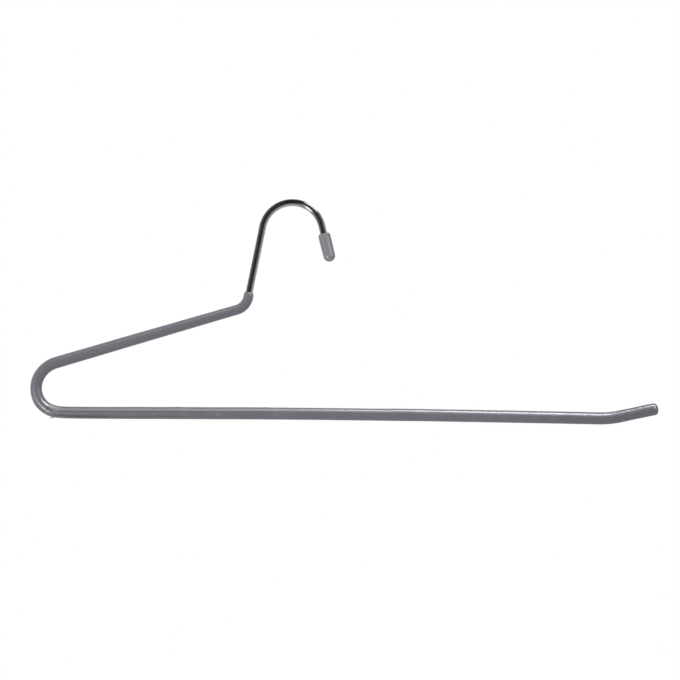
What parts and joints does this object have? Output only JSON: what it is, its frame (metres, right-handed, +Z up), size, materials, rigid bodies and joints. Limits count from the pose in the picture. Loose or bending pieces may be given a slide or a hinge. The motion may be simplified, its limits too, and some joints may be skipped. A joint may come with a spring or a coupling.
{
  "type": "trouser hanger",
  "caption": "Open-ended trouser hanger bent from steel wire, with a rail hook, a soft dipped coating along its arm and bar, an upturned bar tip and a cap on the hook's cut end.",
  "frame": {"origin": "where the hook rests on a rail: the lowest point of the crown's underside, midway through the wire's thickness", "axes": "+X along the bar towards its upturned tip, +Y through the thickness, +Z up as the hanger hangs"},
  "size_m": [0.3498, 0.0068, 0.1256],
  "materials": {
    "bright_wire": "bright plated drawn wire",
    "dipped_vinyl": "satin grey soft vinyl dip",
    "cap_vinyl": "satin grey moulded soft vinyl"
  },
  "bodies": {
    "root": {"steel_wire": "bright_wire", "grip_coating": "dipped_vinyl", "hook_tip_cap": "cap_vinyl"}
  },
  "joints": []
}
